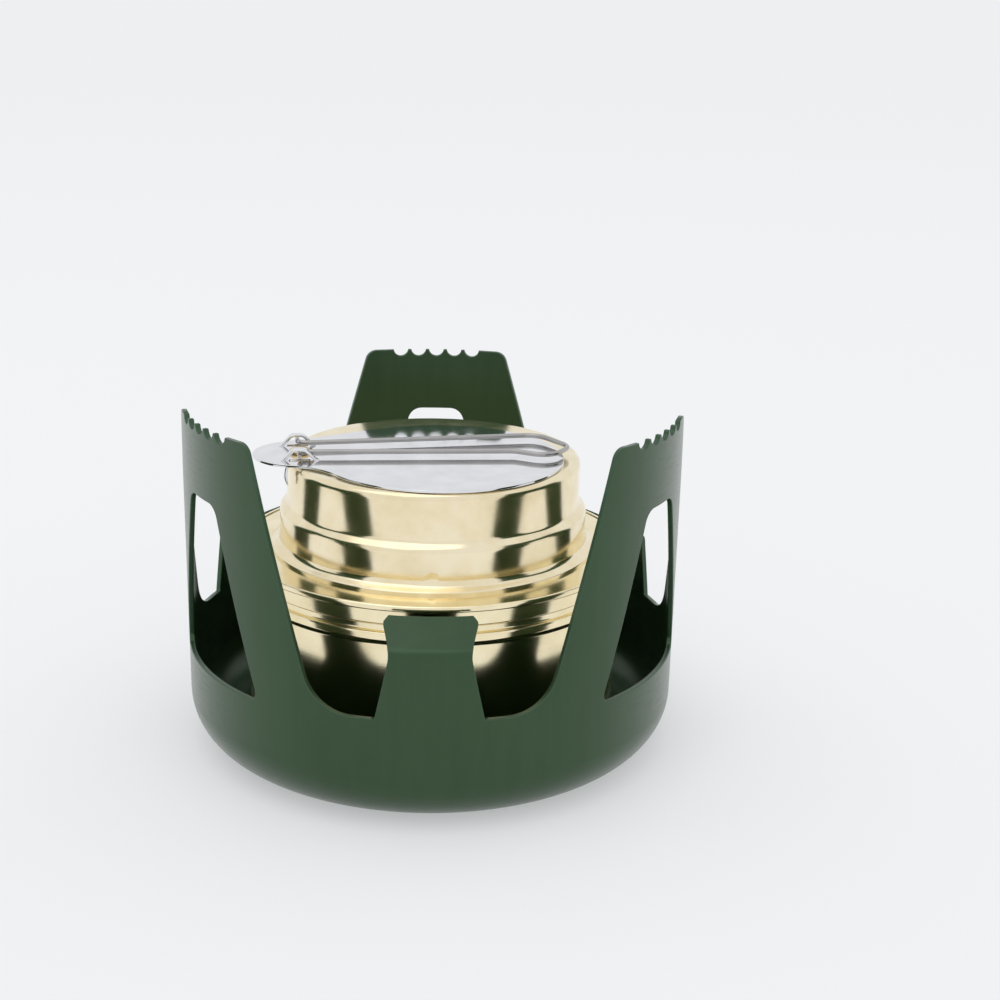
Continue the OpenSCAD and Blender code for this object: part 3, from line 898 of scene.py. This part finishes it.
def make_ears():
    """Two strips raised over the slots, which the handle's ends turn in."""
    crown = EAR_H - EAR_T
    arch = rounded([(-2.7, 0, 0.6), (-0.95, crown, 0.9), (0.95, crown, 0.9), (2.7, 0, 0.6)], closed=False)
    arch = [(HINGE_X + x, z) for x, z in [(-3.3, -0.3), *spaced(arch, 0.2), (3.3, -0.3)]]
    for name, y in (("ear_front", -EAR_Y), ("ear_back", EAR_Y)):
        bm = bmesh.new()
        path = [(x, y, LID_TOP + z) for x, z in arch]
        swept(bm, path, ear_section, (0, -1, 0))
        turn_to_hinge(bm)
        finish_mesh(name, bm, "lid", STEEL, crease=50)


def make_claw():
    """Finger that hangs from the thumb tab's edge outside the ring's wall, thinner towards its tip."""
    claw_w, claw_t, bow_r, drop, steps = 0.9, 0.55, 5.0, 3.8, 16
    outer_x = -28.3
    bow = arc((outer_x + bow_r - claw_t, LID_Z - drop / 2), bow_r - claw_t / 2, 180 - 24, 180 + 22, steps)

    def claw_section(i):
        slim = 1 - 0.55 * max(0.0, (i - steps * 0.55) / (steps * 0.45)) ** 1.5
        t, w = claw_t / 2 * slim, claw_w / 2 * slim
        return rounded([(-t, -w, 0.1), (t, -w, 0.1), (t, w, 0.1), (-t, w, 0.1)], steps=3)

    bm = bmesh.new()
    swept(bm, [(x, -CLAW_Y, z) for x, z in bow], claw_section, (0, 1, 0))
    turn_to_hinge(bm)
    return finish_mesh("stop_claw", bm, "lid", STEEL, crease=50)


# ---- Wire handle ----

HANDLE_LINE = (
    (HINGE_X, 7.2, 0), (HINGE_X, 2.9, 1.5), (17.5, 5.15, 3.0), (21.3, 5.3, 4.5), (25.9, -3.9, 3.5),
    (21.0, -10.6, 4.0), (14.6, -6.2, 3.0), (HINGE_X, -3.4, 1.2), (HINGE_X, -7.2, 0),
)


def make_handle():
    """Hairpin of round wire: a skewed loop, two slightly spread legs, ends turned out under the ears."""
    path = spaced(rounded(HANDLE_LINE, steps=14, closed=False), 2.0)
    ends = len(path) - 1

    def round_section(i):
        radius = WIRE_R * (0.72 if i in (0, ends) else 1.0)
        return arc((0, 0), radius, 0, 360, 20)[:-1]

    bm = bmesh.new()
    swept(bm, [(x, y, WIRE_Z) for x, y in path], round_section, (0, 0, 1))
    turn_to_hinge(bm)
    piece = finish_mesh("handle_wire", bm, "handle", WIRE, crease=50)
    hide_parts("wire_handle")
    return piece


def dress(node, material):
    """Gives a CAD node that stays its finished material."""
    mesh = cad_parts[node].data
    mesh.materials.clear()
    mesh.materials.append(material)


make_stand()
make_cup()
make_cap()
make_ring()
make_rivet()
make_lid()
make_ears()
make_claw()
make_handle()
dress("jet_ring", BRASS_CUP)
dress("well_sleeve", BRASS_DULL)
dress("wick", FELT)
dress("cap_seal", RUBBER)


# ---- Studio ----

FLOOR_REACH = 30.0
FLOOR_COLOUR = (0.54, 0.54, 0.54)
SKY_COLOUR = (0.855, 0.865, 0.880)


def make_floor():
    """Pale floor that runs out to the horizon in the sky's own tone, with softened shadows."""
    bm = bmesh.new()
    radii = (0.0, 0.1, 0.4, 1.5, 6.0, FLOOR_REACH)
    spin(bm, [(radius, 0.0) for radius in radii], 96, closed=False)
    bmesh.ops.recalc_face_normals(bm, faces=bm.faces)
    mesh = bpy.data.meshes.new("floor")
    bm.to_mesh(mesh)
    bm.free()
    mesh.polygons.foreach_set("use_smooth", [True] * len(mesh.polygons))
    look = Look("floor_paper", FLOOR_COLOUR, 0.0, 0.9)
    look.set("Specular IOR Level", 0.0)
    look.set("Emission Color", (*SKY_COLOUR, 1))
    look.set("Emission Strength", 1 - FLOOR_COLOUR[0])
    look.bump(look.noise(900, 4.0), 0.05, 0.0001)
    mesh.materials.append(look.material)
    floor = bpy.data.objects.new("floor", mesh)
    bpy.context.scene.collection.objects.link(floor)


LAMP_PLACE, LAMP_AIM = (-0.3, -0.2, 1.3), (0, 0, 0.03)
LAMP_SIZE, LAMP_POWER = 1.0, 1.6
LAMP_COLOUR = (1.0, 0.99, 0.97)


def make_lights():
    """Even bright surroundings, and one soft lamp above and to the left."""
    world = bpy.data.worlds.new("studio")
    bpy.context.scene.world = world
    world.use_nodes = True
    sky = world.node_tree.nodes["Background"]
    sky.inputs["Color"].default_value = (*SKY_COLOUR, 1)
    sky.inputs["Strength"].default_value = 1.0
    lamp = bpy.data.lights.new("overhead", "AREA")
    lamp.size = LAMP_SIZE
    lamp.energy = LAMP_POWER
    lamp.color = LAMP_COLOUR
    made = bpy.data.objects.new("overhead", lamp)
    made.location = LAMP_PLACE
    aim = Vector(LAMP_AIM) - made.location
    made.rotation_euler = aim.to_track_quat("-Z", "Y").to_euler()
    bpy.context.scene.collection.objects.link(made)


CAMERA_PLACE = (0.00184, -0.2850, 0.13407)
CAMERA_HEADING, CAMERA_DOWN, CAMERA_ROLL = 0.0389, 0.298, 0.023
CAMERA_LENS, CAMERA_SENSOR = 55.13, 36


def make_camera():
    """Camera in front, just right of the middle, looking 17 degrees down."""
    heading, down, roll = CAMERA_HEADING, CAMERA_DOWN, CAMERA_ROLL
    level = math.cos(down)
    ahead = Vector((math.sin(heading) * level, math.cos(heading) * level, -math.sin(down)))
    right = Vector((math.cos(heading), -math.sin(heading), 0))
    up = right.cross(ahead)
    tilted_right = right * math.cos(roll) + up * math.sin(roll)
    tilted_up = up * math.cos(roll) - right * math.sin(roll)
    turn = Matrix((tilted_right, tilted_up, -ahead)).transposed().to_4x4()
    lens = bpy.data.cameras.new("camera")
    lens.lens = CAMERA_LENS
    lens.sensor_width = CAMERA_SENSOR
    lens.clip_start = 0.01
    camera = bpy.data.objects.new("camera", lens)
    camera.matrix_world = Matrix.Translation(Vector(CAMERA_PLACE)) @ turn
    bpy.context.scene.collection.objects.link(camera)
    bpy.context.scene.camera = camera


make_floor()
make_lights()
make_camera()
bpy.context.scene.view_settings.view_transform = "Standard"
